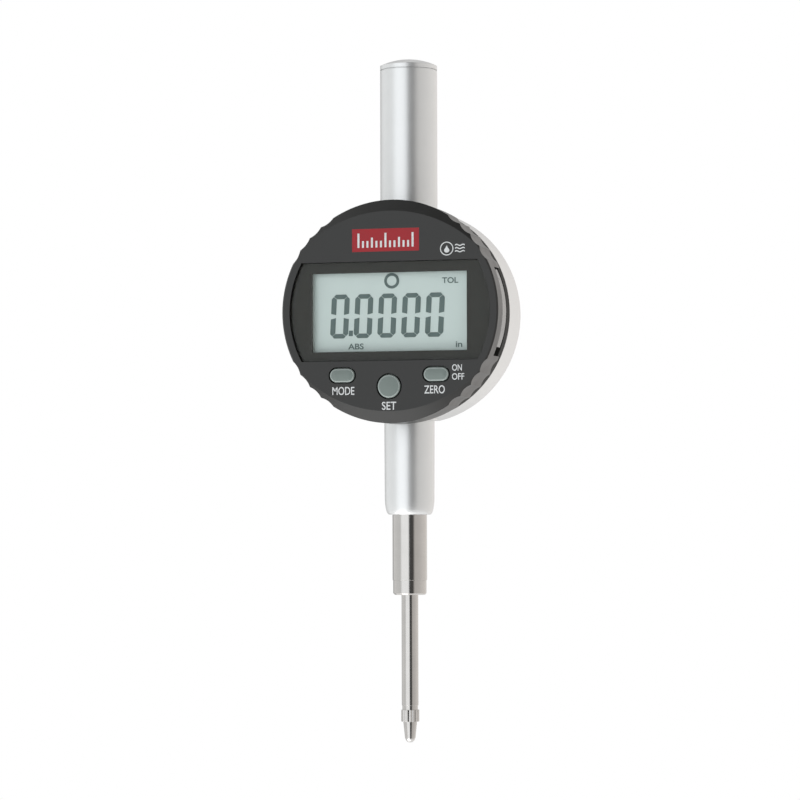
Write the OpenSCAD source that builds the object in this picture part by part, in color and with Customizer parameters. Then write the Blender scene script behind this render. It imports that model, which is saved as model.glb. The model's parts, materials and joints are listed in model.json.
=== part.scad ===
// Digital plunger indicator: a round display head that turns on the front of a flat case,
// with a clamping stem below, a closed tube above and a sprung plunger running through all three.
// Origin: on the plunger's axis, halfway up the clamping stem. +Z is up and the display faces -Y.
// Depths are measured forwards (towards -Y) from the plunger's axis, so a negative depth is behind it.

/* [Plunger] */
// Diameter of the plunger rod
plunger_d = 4.6; // [4.3:0.05:4.6]
// Measuring travel
travel = 25.4; // [12:0.1:25.4]
// Bare plunger between the stem's end and the contact point, at rest
plunger_out = 31.6; // [27:0.1:40]
// Diameter of the knurled ring on the contact point
contact_ring_d = 5; // [4.8:0.1:6]
// Length of the contact point below the plunger
contact_l = 9; // [8:0.1:12]

/* [Stem and barrel] */
// Clamping stem diameter: three eighths of an inch
stem_d = 9.525; // [9.4:0.005:9.6]
// Length of bare clamping stem
stem_l = 18; // [14:0.5:22]
// Length of the bush that closes the stem's lower end
end_bush_l = 4; // [3.8:0.1:6]
// Diameter of the barrel above the stem
barrel_d = 13.9; // [13.6:0.1:14.4]
// Length of barrel between the stem and the case
barrel_l = 26; // [22:0.5:30]

/* [Upper tube] */
// Diameter of the closed tube above the case
tube_d = 15.8; // [15.4:0.1:15.8]
// Length of that tube up to its cap
tube_l = 38.7; // [37.5:0.1:45]
// Height of the domed cap that closes it
cap_h = 3.2; // [2:0.1:4]

/* [Case] */
// Radius of the metal case
case_r = 29.7; // [29.4:0.1:29.8]
// Depth of the case's flat back behind the plunger
case_back = 8.6; // [8.4:0.1:9.5]
// Depth of the case's front edge in front of the plunger
case_front = 4.6; // [4.4:0.1:4.8]

/* [Display head] */
// Radius of the display head
head_r = 30.3; // [30:0.1:31]
// Depth of the head's front face
head_front = 20.6; // [20.6:0.1:22]
// Number of finger scallops in each of the four grip groups
scallops = 4; // [2:1:5]
// Depth of each scallop
scallop_cut = 0.5; // [0.3:0.05:0.7]
// Height of the band-shaped lens
lens_h = 26.7; // [26:0.1:27]
// Radius of the lens's two curved ends
lens_r = 28; // [27.6:0.1:28.2]
// Width of the clear window in the lens's printed mask
window_w = 43.4; // [40:0.1:43.4]
// Height of that window
window_h = 21.3; // [19:0.1:21.8]

/* [Buttons and battery] */
// Diameter of the middle button
round_button_d = 6.3; // [5.6:0.1:6.4]
// Width of each oval button
oval_button_w = 6.9; // [6.2:0.1:7]
// Height of each oval button
oval_button_h = 3.7; // [3.2:0.1:3.8]
// How far the oval buttons sit from the middle
oval_button_x = 13.15; // [12.9:0.05:13.2]
// How far a button moves when pressed
button_travel = 0.7; // [0.4:0.1:0.7]
// How far a button stands above the face
button_proud = 0.6; // [0.5:0.1:1]
// Diameter of the coin cell
cell_d = 20; // [18:0.5:20]

/* [Hidden] */
$fn = 72;
eps = 0.01;
run_fit = 0.03;

// Heights along the plunger's axis
stem_top = stem_l / 2;
stem_end = -stem_l / 2;
bush_end = stem_end - end_bush_l;
plunger_end = bush_end - plunger_out;
flat_r = case_r - 0.7;
case_low = stem_top + barrel_l;
face_z = case_low + flat_r;
case_top = face_z + flat_r;
tube_top = case_top + tube_l;
boss_h = 5;
boss_r = 7.9;
tube_bore_r = 5.3;
tube_spigot_r = 6.2;
barrel_spigot_r = 6;
stem_bore_r = 3.3;
stem_shank_r = stem_d / 2 - 0.26;
stem_shank_l = 29;
bush_step = 0.16;
flange_r = 5.9;
plug_h = 3.1;
cap_wall = 1.4;
cap_groove = [0.3, 0.25];
plunger_top = tube_top - plug_h - 1.2 - travel;

// Depths through the head, from the turning joint to the face
plate_back = 6;
plate_front = 8;
head_rear = 8.9;
hub_r = 12;
hub_bore_r = 8.5;
thrust_r = 14;
seal_r = 21.2;
seal_wire_r = 0.65;
seal_groove = 0.5;
stop_ring_r = 17.2;
stop_pin_r = 0.75;
base_t = 1.6;
base_front = head_rear + base_t;
axial_gap = 0.05;
ring_front = base_front + 1.1;
ring_r = 14.4;
wall_back = head_front - 2.3;
ledge_front = head_front - 1.35;
mask_t = 0.18;
mask_gap = 0.02;
lens_gap = 0.12;
head_bore_r = head_r - 2;
board_t = 0.8;
glass_front = wall_back - 0.5;
glass_t = 1.1;
strip_t = 0.6;
board_front = glass_front - glass_t - strip_t;
board_back = board_front - board_t;
cell_front = board_back - 0.25;
cell_back = cell_front - 3.1;
glass_w = 46;
glass_h = 24;
case_wall = 3;
case_bore_r = case_r - case_wall;
cover_r = case_bore_r + 1.1;
cover_t = 2;
gasket_t = 0.3;

// Grip and bevel on the head
scallop_r = 5;
scallop_pitch = 8;
grip_angles = [42, 138, 222, 318];
edge_cut = 0.4;
bevel_shift = 8;
bevel_start = 27.1;
bevel_angle = 35;

// Places on the face, measured from its middle
button_drop = 20.4;
oval_drop = 17.3;
plate_x = -0.9;
plate_y = 19.2;
plate_w = 18.8;
plate_h = 6.2;
plate_t = 0.25;
window_x = -0.3;
window_y = -0.2;
button_gap = 0.4;
flange_grow = 0.7;
flange_gap = 0.25;
button_edge = 0.25;
button_rear = wall_back - 0.65;
flange_front = wall_back - 0.05;
dome_top = button_rear - button_travel - 0.1;
post_x = 20.4;
post_y = 16.6;
head_post_r = 2.4;
case_post = 17.4;
case_post_r = 2.7;

// Screws: radius of the rod and of the head
wall_screw = [0.8, 1.7];
ring_screw = [0.6, 1.3];
ring_screw_at = 10.3;
ring_screw_turns = [90, 210, 330];

// Connectors at the two ends of the ribbon
connector_x = -0.5;
connector_h = 1.4;

// Battery drawer
cell_x = 16.8;
cell_y = 0.75;
drawer_half = 10.6;
nail_gap = 2.45;
neck_half = 8;
drawer_r = head_r - 0.15;
door_bend_r = 27.5;
door_taper = 0.4;
door_gap = 0.3;
drawer_rear = head_rear + 0.1;
door_front = cell_front + 0.15;

// Carriage on the plunger
carrier_low = case_low + 7.05;
carrier_h = 11;
carrier_front = 3.9;
carrier_back = 4.6;
carrier_half = 6.5;
clamp_screw_r = 0.9;

// Rail beside the carriage and the pin that runs in its groove
rail_x = 8.6;
rail_l = 42;
rail_foot = 1.6;
rail_screw_x = 12.5;
rail_screw_z = 19;
rail_screw_r = 0.7;
pin_r = 0.95;

// Contact point: the ball in its tip, and the shank that screws into the plunger
ball_r = 1.35;
contact_shank_r = 1.25;

// Places a shape on the head's axis at a depth, growing forwards
module facing(depth) {
    translate([0, -depth, face_z]) rotate([90, 0, 0]) children();
}

// Flat outline on the head's axis, solid from one depth to another
module slab(back, front) {
    facing(back) linear_extrude(front - back) children();
}

// Same shape at the four corners of a rectangle about the head's axis
module four_corners(x, y) {
    for (i = [-1, 1], j = [-1, 1]) translate([i * x, j * y]) children();
}

// Oval outline with round ends
module oval(w, h) {
    square([w - h, h], center = true);
    for (i = [-1, 1]) translate([i * (w - h) / 2, 0]) circle(h / 2);
}

// Ring round the plunger's axis between two heights
module sleeve(low, high, outer, inner) {
    translate([0, 0, low]) difference() {
        cylinder(r = outer, h = high - low);
        translate([0, 0, -1]) cylinder(r = inner, h = high - low + 2);
    }
}

// Countersunk screw along +Z with its cross slot on top, head flush at z = 0
module screw(size, length) {
    rod_r = size[0];
    cap_r = size[1];
    difference() {
        union() {
            translate([0, 0, -length]) cylinder(r = rod_r, h = length);
            translate([0, 0, rod_r - cap_r]) cylinder(r1 = rod_r, r2 = cap_r, h = cap_r - rod_r);
        }
        for (a = [0, 90]) rotate(a) cube([cap_r * 1.3, 0.3, 1], center = true);
    }
}

// Hole that takes that screw
module screw_hole(size, length) {
    rod_r = size[0];
    cap_r = size[1];
    translate([0, 0, -length]) cylinder(r = rod_r, h = length + 1);
    translate([0, 0, rod_r - cap_r]) cylinder(r1 = rod_r, r2 = cap_r, h = cap_r - rod_r);
    cylinder(r = cap_r, h = 1);
}

// ---------------------------------------------------------------- display head

// Lens outline: a band across the face with two curved ends
module lens_outline(grow) {
    intersection() {
        circle(lens_r + grow);
        square([4 * lens_r, lens_h + 2 * grow], center = true);
    }
}

// Cone that cuts the crescent bevel at the top or the bottom of the face
module bevel_cone(side, depth) {
    arc_r = bevel_start + bevel_shift;
    translate([0, -side * bevel_shift, 0])
        cylinder(r1 = arc_r + depth / tan(bevel_angle), r2 = arc_r, h = depth, $fn = 144);
}

module head_blank() {
    depth = head_front - head_rear;
    difference() {
        intersection() {
            union() {
                cylinder(r = head_r, h = depth - edge_cut, $fn = 144);
                translate([0, 0, depth - edge_cut])
                    cylinder(r1 = head_r, r2 = head_r - edge_cut, h = edge_cut, $fn = 144);
            }
            bevel_cone(1, depth);
            bevel_cone(-1, depth);
        }
        for (a = grip_angles, i = [0 : scallops - 1])
            rotate(a + (i - (scallops - 1) / 2) * scallop_pitch)
                translate([head_r + scallop_r - scallop_cut, 0, -1]) cylinder(r = scallop_r, h = depth + 2);
    }
}

// Slot in the side wall for the drawer, with a gap for a fingernail below it
module drawer_slot() {
    translate([head_r - 8, cell_y - drawer_half - nail_gap])
        square([12, 2 * drawer_half + nail_gap + door_gap]);
}

module front_housing() {
    color([0.16, 0.16, 0.16]) difference() {
        union() {
            difference() {
                facing(head_rear) head_blank();
                slab(head_rear - 1, wall_back) circle(head_bore_r);
            }
            slab(base_front, wall_back + eps) intersection() {
                four_corners(post_x, post_y) circle(head_post_r);
                circle(head_bore_r + 0.5);
            }
        }
        slab(ledge_front, head_front + 1) lens_outline(lens_gap);
        slab(wall_back - 1, ledge_front + 1) square([44.4, 23], center = true);
        slab(head_front - plate_t, head_front + 1) translate([plate_x, plate_y])
            square([plate_w, plate_h], center = true);
        slab(wall_back - 1, head_front + 1) {
            round_button_shape(button_gap);
            for (i = [-1, 1]) oval_button_shape(i, button_gap);
        }
        slab(head_rear - 1, cell_front + 0.25) drawer_slot();
        slab(base_front - 1, wall_back - 2) four_corners(post_x, post_y) circle(wall_screw[0]);
    }
}

module display_lens() {
    color([0.25, 0.27, 0.27, 0.5]) slab(ledge_front + mask_t + mask_gap, head_front - 0.05)
        lens_outline(0);
}

module window_mask() {
    color([0.1, 0.1, 0.1]) slab(ledge_front, ledge_front + mask_t) difference() {
        lens_outline(0);
        translate([window_x, window_y]) square([window_w, window_h], center = true);
    }
}

module name_plate() {
    color([0.7, 0.12, 0.15]) slab(head_front - plate_t, head_front) translate([plate_x, plate_y])
        square([plate_w, plate_h], center = true);
}

module lcd_glass() {
    color([0.72, 0.78, 0.77]) slab(glass_front - glass_t, glass_front)
        square([glass_w, glass_h], center = true);
}

// Frame round the glass, with a lip in front of it that closes the gap to the wall
module lcd_frame() {
    color([0.9, 0.9, 0.9]) difference() {
        slab(board_front, wall_back) square([glass_w + 1.2, glass_h + 1.6], center = true);
        slab(board_front - 1, glass_front) square([glass_w, glass_h], center = true);
        slab(board_front - 1, wall_back + 1) square([glass_w - 1.4, glass_h - 0.8], center = true);
    }
}

// Two rubber strips that join the glass to the circuit board
module contact_strips() {
    color([0.85, 0.6, 0.5]) for (i = [-1, 1])
        slab(board_front, glass_front - glass_t) translate([0, i * 11.2]) square([42, 1.2], center = true);
}

module main_board() {
    color([0.1, 0.4, 0.2]) slab(board_back, board_front) difference() {
        circle(head_bore_r - 0.6);
        four_corners(post_x, post_y) circle(head_post_r + 0.2);
    }
}

module processor_chip() {
    color([0.08, 0.08, 0.08]) slab(board_back - 0.9, board_back)
        translate([-13, 0]) square([8, 8], center = true);
}

module board_connector() {
    color([0.9, 0.88, 0.8]) slab(board_back - connector_h, board_back)
        translate([connector_x, 0]) square([3, 7], center = true);
}

module dome_switches() {
    color("gold") slab(board_front, dome_top) {
        translate([0, -button_drop]) circle(2.2);
        for (i = [-1, 1]) translate([i * oval_button_x, -oval_drop]) circle(1.7);
    }
}

// Spacer behind the face that keeps the buttons' flanges in line
module keypad_frame() {
    color([0.3, 0.3, 0.32]) slab(board_front + 0.8, wall_back) difference() {
        translate([-18.2, -25]) square([36.4, 11.6]);
        difference() {
            square(80, center = true);
            circle(head_bore_r - 0.6);
        }
        four_corners(post_x, post_y) circle(head_post_r + 0.1);
        round_button_shape(flange_grow + flange_gap);
        for (i = [-1, 1]) oval_button_shape(i, flange_grow + flange_gap);
    }
}

// Leaf under the cell and an upright finger at its edge
module battery_contacts() {
    color("gold") {
        slab(board_back - 0.15, board_back) translate([cell_x, cell_y]) square([10, 3], center = true);
        slab(cell_back + 0.6, board_back) translate([5.2, cell_y - 1.2]) square([0.3, 2.4]);
        slab(cell_back + 0.6, cell_back + 1.2) translate([5.2, cell_y - 1.2]) square([1.4, 2.4]);
    }
}

// Rear plate of the head, which turns on the hub
module head_base() {
    color([0.12, 0.12, 0.12]) difference() {
        slab(head_rear, base_front) circle(head_bore_r);
        slab(head_rear - 1, base_front + 1) circle(hub_r + run_fit + 0.02);
        slab(head_rear - 1, base_front + 1) translate([0, stop_ring_r]) circle(stop_pin_r);
        facing(head_rear) four_corners(post_x, post_y) mirror([0, 0, 1]) screw_hole(wall_screw, 3);
    }
}

module head_base_screws() {
    color("silver") facing(head_rear) four_corners(post_x, post_y)
        mirror([0, 0, 1]) screw(wall_screw, 6);
}

// Pin that runs in the hub plate's groove and limits the turn
module stop_pin() {
    color("silver") slab(plate_front - 1, base_front) translate([0, stop_ring_r]) circle(stop_pin_r);
}

// ---------------------------------------------------------------- buttons

// Outlines of the buttons on the face
module round_button_shape(grow) {
    translate([0, -button_drop]) circle(round_button_d / 2 + grow);
}

module oval_button_shape(side, grow) {
    translate([side * oval_button_x, -oval_drop]) oval(oval_button_w + 2 * grow, oval_button_h + 2 * grow);
}

// Each button at rest: a flange behind the face, a stem through it and a cap with a cut edge
module set_button() {
    color([0.5, 0.54, 0.52]) {
        slab(button_rear, flange_front) round_button_shape(flange_grow);
        slab(flange_front - eps, head_front + button_proud - button_edge) round_button_shape(0);
        slab(head_front + button_proud - button_edge - eps, head_front + button_proud)
            round_button_shape(-button_edge);
    }
}

module oval_button(side) {
    color([0.5, 0.54, 0.52]) {
        slab(button_rear, flange_front) oval_button_shape(side, flange_grow);
        slab(flange_front - eps, head_front + button_proud - button_edge) oval_button_shape(side, 0);
        slab(head_front + button_proud - button_edge - eps, head_front + button_proud)
            oval_button_shape(side, -button_edge);
    }
}

module mode_button() {
    oval_button(-1);
}

module zero_button() {
    oval_button(1);
}

// ---------------------------------------------------------------- battery drawer

// Face of the drawer in the side wall, a little rounder than the wall and drawn in towards the back
module drawer_door() {
    difference() {
        intersection() {
            facing(drawer_rear) translate([drawer_r - door_bend_r, 0, 0])
                cylinder(r1 = door_bend_r - door_taper, r2 = door_bend_r, h = door_front - drawer_rear);
            slab(drawer_rear - 1, cell_front + 1) translate([0, cell_y - drawer_half])
                square([head_r, 2 * drawer_half]);
        }
        slab(drawer_rear - 1, cell_front + 1) circle(head_bore_r + 0.05);
    }
}

module battery_drawer() {
    color([0.2, 0.2, 0.2]) difference() {
        union() {
            slab(cell_back - 0.05, cell_front) translate([cell_x, cell_y]) circle(drawer_half);
            slab(cell_back - 0.6, cell_back) intersection() {
                translate([cell_x, cell_y]) circle(drawer_half);
                translate([ring_r + 0.8, -20]) square([20, 40]);
            }
            slab(cell_back + 0.3, cell_front - 0.6) translate([24.4, cell_y - neck_half])
                square([head_bore_r - 24, 2 * neck_half]);
            drawer_door();
        }
        slab(cell_back, cell_front + 1) translate([cell_x, cell_y]) circle(cell_d / 2 + 0.05);
        slab(cell_back - 2, cell_front + 1) translate([4, cell_y - 1.5]) square([4, 3]);
    }
}

// Gasket behind the drawer's face, round its neck
module drawer_seal() {
    color([0.05, 0.05, 0.05]) difference() {
        slab(base_front + 0.2, cell_front + 0.05) intersection() {
            difference() {
                circle(head_bore_r + 0.05);
                circle(head_bore_r - 0.5);
            }
            translate([0, cell_y - drawer_half + 0.35]) square([head_r, 2 * drawer_half - 0.7]);
        }
        slab(cell_back + 0.3, cell_front - 0.6) translate([20, cell_y - neck_half])
            square([20, 2 * neck_half]);
    }
}

module coin_cell() {
    color([0.8, 0.8, 0.82]) {
        slab(cell_back, cell_front - 0.5) translate([cell_x, cell_y]) circle(cell_d / 2);
        slab(cell_front - 0.5 - eps, cell_front) translate([cell_x, cell_y]) circle(cell_d / 2 - 1.2);
    }
}

// ---------------------------------------------------------------- case and turning joint

// Squared neck at the case's top (side 1) or bottom (side -1) that takes a tube
module neck_block(side) {
    low = side > 0 ? flat_r - boss_h : -flat_r;
    translate([0, 0, face_z + low]) {
        cylinder(r = boss_r, h = boss_h);
        translate([-boss_r, -plate_front, 0]) cube([2 * boss_r, plate_front, boss_h]);
    }
}

// Everything past the flats on which the tubes seat
module past_flats() {
    for (i = [0, 1]) translate([0, 0, face_z]) mirror([0, 0, i]) translate([-boss_r, -20, flat_r])
        cube([2 * boss_r, 40, 10]);
}

module rear_body() {
    color([0.82, 0.81, 0.8]) difference() {
        union() {
            difference() {
                union() {
                    slab(-case_back + 0.6, case_front) circle(case_r, $fn = 144);
                    facing(-case_back) cylinder(r1 = case_r - 0.6, r2 = case_r, h = 0.6, $fn = 144);
                }
                slab(-case_back - 1, case_front + 1) circle(case_bore_r);
            }
            for (i = [-1, 1]) neck_block(i);
            slab(-case_back, plate_back) intersection() {
                four_corners(case_post, case_post) circle(case_post_r);
                circle(case_bore_r + 0.5);
            }
        }
        slab(-case_back - 1, -case_back + cover_t + gasket_t) circle(cover_r);
        past_flats();
        translate([0, 0, case_top - boss_h - 1]) cylinder(r = tube_spigot_r, h = boss_h + 2);
        translate([0, 0, case_low - 1]) cylinder(r = barrel_spigot_r, h = boss_h + 2);
        slab(-case_back, plate_back + 1) four_corners(case_post, case_post) circle(wall_screw[0]);
    }
}

module back_gasket() {
    color([0.05, 0.05, 0.05]) slab(-case_back + cover_t, -case_back + cover_t + gasket_t) difference() {
        circle(cover_r);
        circle(case_bore_r + 0.1);
    }
}

module back_cover() {
    color([0.78, 0.78, 0.77]) difference() {
        slab(-case_back, -case_back + cover_t) circle(cover_r);
        facing(-case_back) four_corners(case_post, case_post) mirror([0, 0, 1]) screw_hole(wall_screw, 4);
    }
}

module back_cover_screws() {
    color("silver") facing(-case_back) four_corners(case_post, case_post)
        mirror([0, 0, 1]) screw(wall_screw, 6);
}

// Front plate of the case, with the hub that the head turns on
module hub_plate() {
    color([0.1, 0.1, 0.1]) difference() {
        union() {
            slab(plate_back, plate_front) circle(case_r - 0.05, $fn = 144);
            slab(case_front, plate_back) difference() {
                circle(case_r - 0.05, $fn = 144);
                circle(case_bore_r);
            }
            slab(plate_front - eps, head_rear - axial_gap) circle(thrust_r);
            slab(plate_front - eps, base_front + axial_gap) circle(hub_r);
        }
        slab(plate_back - 1, ring_front) circle(hub_bore_r);
        slab(plate_front - seal_groove, plate_front + seal_groove) difference() {
            circle(seal_r + seal_wire_r + 0.05);
            circle(seal_r - seal_wire_r - 0.05);
        }
        facing(plate_front - 1.2) rotate(-50) rotate_extrude(angle = 280)
            translate([stop_ring_r - 1, 0]) square([2, 2]);
        facing(plate_front) four_corners(case_post, case_post) screw_hole(wall_screw, 4);
        for (a = ring_screw_turns) facing(base_front - 3) rotate(a) translate([ring_screw_at, 0])
            cylinder(r = ring_screw[0], h = 5);
        slab(case_front - 1, plate_front + 1) for (i = [0, 1]) mirror([0, i])
            translate([-boss_r, flat_r - boss_h]) square([2 * boss_r, 10]);
        slab(case_front - 1, plate_back) four_corners(case_post, case_post) circle(case_post_r);
    }
}

module hub_plate_screws() {
    color("silver") facing(plate_front) four_corners(case_post, case_post) screw(wall_screw, 5);
}

module retaining_ring() {
    color("silver") difference() {
        slab(base_front + axial_gap, ring_front) circle(ring_r);
        slab(base_front - 1, ring_front + 1) circle(hub_bore_r);
        for (a = ring_screw_turns) facing(ring_front) rotate(a) translate([ring_screw_at, 0])
            screw_hole(ring_screw, 3);
    }
}

module retaining_ring_screws() {
    color("silver") for (a = ring_screw_turns)
        facing(ring_front) rotate(a) translate([ring_screw_at, 0]) screw(ring_screw, 3.5);
}

// Rubber ring that seals the turning joint and holds the head by friction
module rotation_seal() {
    color([0.05, 0.05, 0.05]) facing(plate_front - seal_groove + seal_wire_r)
        rotate_extrude() translate([seal_r, 0]) circle(seal_wire_r);
}

// ---------------------------------------------------------------- measuring system in the case

module sensor_board() {
    color([0.1, 0.4, 0.2]) slab(plate_back - 1, plate_back) difference() {
        translate([-14, -21.5]) square([22, 43]);
        for (i = [-1, 1]) translate([-11, i * 18]) circle(0.8);
    }
}

module sensor_board_screws() {
    color("silver") for (i = [-1, 1]) translate([-11, -plate_back + 1, face_z + i * 18]) rotate([-90, 0, 0]) {
        cylinder(r = 1.5, h = 0.7);
        translate([0, 0, -1]) cylinder(r = 0.8, h = 1 + eps);
    }
}

module sensor_chip() {
    color([0.08, 0.08, 0.08]) slab(plate_back - 2, plate_back - 1)
        translate([-10.8, 0]) square([4.5, 6], center = true);
}

module sensor_connector() {
    color([0.9, 0.88, 0.8]) slab(plate_back, plate_back + connector_h)
        translate([connector_x, 0]) square([3, 7], center = true);
}

// Flat ribbon with a slack fold, through the hub from the sensor board to the head
module ribbon_cable() {
    low = plate_back + connector_h;
    high = board_back - connector_h - 0.15;
    steps = 16;
    side = [for (i = [0 : steps]) [sin(360 * i / steps), low + (high - low) * i / steps]];
    color([0.8, 0.5, 0.15]) translate([connector_x, 0, face_z - 2.5]) linear_extrude(5)
        polygon(concat(
            [for (p = side) [p[0] - 0.1, -p[1]]],
            [for (i = [steps : -1 : 0]) [side[i][0] + 0.1, -side[i][1]]]
        ));
}

// Grooved rail that keeps the plunger from turning
module guide_rail() {
    color([0.75, 0.6, 0.35]) difference() {
        translate([rail_x, -plate_back, face_z - rail_l / 2]) {
            cube([2.4, plate_back + 2.2, rail_l]);
            cube([5.4, rail_foot, rail_l]);
        }
        translate([rail_x - 1, -pin_r - 0.1, face_z - rail_l / 2 - 1])
            cube([3, 2 * pin_r + 0.2, rail_l + 2]);
        for (i = [-1, 1]) translate([rail_screw_x, -plate_back - 1, face_z + i * rail_screw_z])
            rotate([-90, 0, 0]) cylinder(r = rail_screw_r, h = 5);
    }
}

module guide_rail_screws() {
    color("silver") for (i = [-1, 1])
        translate([rail_screw_x, -plate_back + rail_foot, face_z + i * rail_screw_z]) rotate([-90, 0, 0]) {
            cylinder(r = 1.2, h = 0.8);
            translate([0, 0, -rail_foot]) cylinder(r = rail_screw_r, h = rail_foot + eps);
        }
}

// ---------------------------------------------------------------- tube above the case

module upper_tube() {
    color([0.83, 0.83, 0.84]) {
        sleeve(case_top - boss_h, case_top + eps, tube_spigot_r, tube_bore_r);
        sleeve(case_top, tube_top, tube_d / 2, tube_bore_r);
    }
}

module upper_bush() {
    color([0.75, 0.55, 0.3]) {
        sleeve(case_top - boss_h, case_top + 5, tube_bore_r, plunger_d / 2 + run_fit);
        sleeve(case_top - boss_h - 1.6, case_top - boss_h, flange_r, plunger_d / 2 + run_fit);
    }
}

// Plug in the tube's end under an upright wall and a shallow dome, with a seam line round its foot
module tube_cap() {
    outer = tube_d / 2;
    top = tube_top + cap_h;
    rise = cap_h - cap_wall;
    dome_r = (outer * outer + rise * rise) / (2 * rise);
    dome_angle = asin(outer / dome_r);
    steps = 10;
    dome = [for (i = [steps : -1 : 0]) let (a = dome_angle * i / steps)
        [dome_r * sin(a), top - dome_r * (1 - cos(a))]];
    seam_r = outer - cap_groove[0];
    seam_top = tube_top + cap_groove[1];
    foot = [
        [0, tube_top - plug_h], [tube_bore_r, tube_top - plug_h], [tube_bore_r, tube_top],
        [seam_r, tube_top], [seam_r, seam_top], [outer, seam_top]
    ];
    color([0.83, 0.83, 0.84]) difference() {
        rotate_extrude() polygon(concat(foot, dome));
        sleeve(tube_top - 2.1, tube_top - 0.9, tube_bore_r + 1, tube_bore_r - 1.2);
    }
}

module cap_seal() {
    color([0.05, 0.05, 0.05]) translate([0, 0, tube_top - 1.5])
        rotate_extrude() translate([tube_bore_r - 0.6, 0]) circle(0.6);
}

// Wire coil round the plunger between the carriage and the upper bush
module return_spring() {
    low = carrier_low + carrier_h + 0.35;
    high = case_top - boss_h - 1.9;
    turns = 13;
    ring = 14;
    sides = 6;
    wire_r = 0.25;
    coil_r = 3.1;
    last = turns * ring;
    points = [for (i = [0 : last], j = [0 : sides - 1])
        let (a = 360 * i / ring, b = 360 * j / sides, r = coil_r + wire_r * cos(b))
        [r * cos(a), r * sin(a), low + (high - low) * i / last + wire_r * sin(b)]];
    walls = [for (i = [0 : last - 1], j = [0 : sides - 1])
        let (k = (j + 1) % sides)
        [i * sides + j, i * sides + k, (i + 1) * sides + k, (i + 1) * sides + j]];
    color([0.6, 0.6, 0.62]) polyhedron(points, concat(
        walls,
        [[for (j = [sides - 1 : -1 : 0]) j]],
        [[for (j = [0 : sides - 1]) last * sides + j]]
    ));
}

// ---------------------------------------------------------------- barrel and stem below the case

// Rounded lower end of the barrel, as points from the outside down to the end face
function nose(top_r, end_r, low, high, steps) =
    [for (i = [0 : steps]) let (a = 90 * i / steps)
        [end_r + (top_r - end_r) * cos(a), high - (high - low) * sin(a)]];

module lower_barrel() {
    color([0.83, 0.83, 0.84]) rotate_extrude() polygon(concat(
        [[stem_shank_r, case_low + boss_h], [barrel_spigot_r, case_low + boss_h], [barrel_spigot_r, case_low],
         [barrel_d / 2, case_low]],
        nose(barrel_d / 2 - 0.1, barrel_d / 2 - 1.3, stem_top, stem_top + 4.6, 8),
        [[stem_shank_r, stem_top]]
    ));
}

// Clamping stem, with a thinner shank pressed up into the barrel
module mounting_stem() {
    color([0.75, 0.74, 0.72]) {
        sleeve(stem_end, stem_top, stem_d / 2, stem_bore_r);
        sleeve(stem_top - eps, stem_top + stem_shank_l, stem_shank_r, stem_bore_r);
    }
}

module lower_bush() {
    color([0.75, 0.55, 0.3]) sleeve(stem_end + 3, stem_top + 6, stem_bore_r, plunger_d / 2 + run_fit);
}

module stem_end_bush() {
    outer = stem_d / 2 - bush_step;
    color([0.72, 0.71, 0.69]) difference() {
        union() {
            translate([0, 0, bush_end]) cylinder(r1 = outer - 0.4, r2 = outer, h = 0.4);
            translate([0, 0, bush_end + 0.4]) cylinder(r = outer, h = end_bush_l - 0.4);
            translate([0, 0, stem_end - eps]) cylinder(r = stem_bore_r, h = 3 + eps);
        }
        translate([0, 0, bush_end - 1]) cylinder(r = plunger_d / 2 + 0.07, h = end_bush_l + 5);
        translate([0, 0, bush_end + 0.8]) cylinder(r = 3.4, h = 1.8);
    }
}

module wiper_seal() {
    color([0.05, 0.05, 0.05]) sleeve(bush_end + 0.8, bush_end + 2.6, 3.4, plunger_d / 2 + run_fit);
}

// Rubber washer that the carriage rests on
module rest_bumper() {
    color([0.05, 0.05, 0.05]) sleeve(case_low + boss_h, carrier_low - 0.05, 5.8, plunger_d / 2 + 0.4);
}

// ---------------------------------------------------------------- plunger

module plunger() {
    rod_r = plunger_d / 2;
    color([0.78, 0.77, 0.75]) difference() {
        union() {
            translate([0, 0, plunger_end + 1.2]) cylinder(r = rod_r, h = plunger_top - plunger_end - 1.6);
            translate([0, 0, plunger_top - 0.4 - eps]) cylinder(r1 = rod_r, r2 = rod_r - 0.4, h = 0.4);
            translate([0, 0, plunger_end]) cylinder(r = rod_r - 0.15, h = 1.2 + eps);
        }
        translate([0, 0, plunger_end - 1]) cylinder(r = contact_shank_r, h = 6);
    }
}

// Block clamped on the plunger that carries the scale
module scale_carrier() {
    color([0.75, 0.75, 0.78]) translate([0, 0, carrier_low]) difference() {
        translate([-carrier_half, -carrier_front, 0])
            cube([2 * carrier_half, carrier_front + carrier_back, carrier_h]);
        translate([0, 0, -1]) cylinder(r = plunger_d / 2, h = carrier_h + 2);
        for (i = [-1, 1]) translate([0, 1, carrier_h / 2 + i * 3])
            rotate([-90, 0, 0]) cylinder(r = clamp_screw_r, h = 5);
        translate([0, 0, carrier_h / 2]) rotate([0, 90, 0]) cylinder(r = pin_r, h = 10);
    }
}

module carrier_screws() {
    color([0.3, 0.3, 0.3]) for (i = [-1, 1])
        translate([0, plunger_d / 2, carrier_low + carrier_h / 2 + i * 3]) rotate([-90, 0, 0])
            cylinder(r = clamp_screw_r, h = carrier_back - plunger_d / 2);
}

module scale_plate() {
    color([0.6, 0.75, 0.8]) translate([-6, -carrier_front - 0.7, carrier_low + 0.5])
        cube([12, 0.7, carrier_h - 1]);
}

// Pin that runs in the guide rail's groove
module guide_pin() {
    color([0.7, 0.7, 0.7]) translate([plunger_d / 2, 0, carrier_low + carrier_h / 2]) rotate([0, 90, 0])
        cylinder(r = pin_r, h = 8);
}

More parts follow.
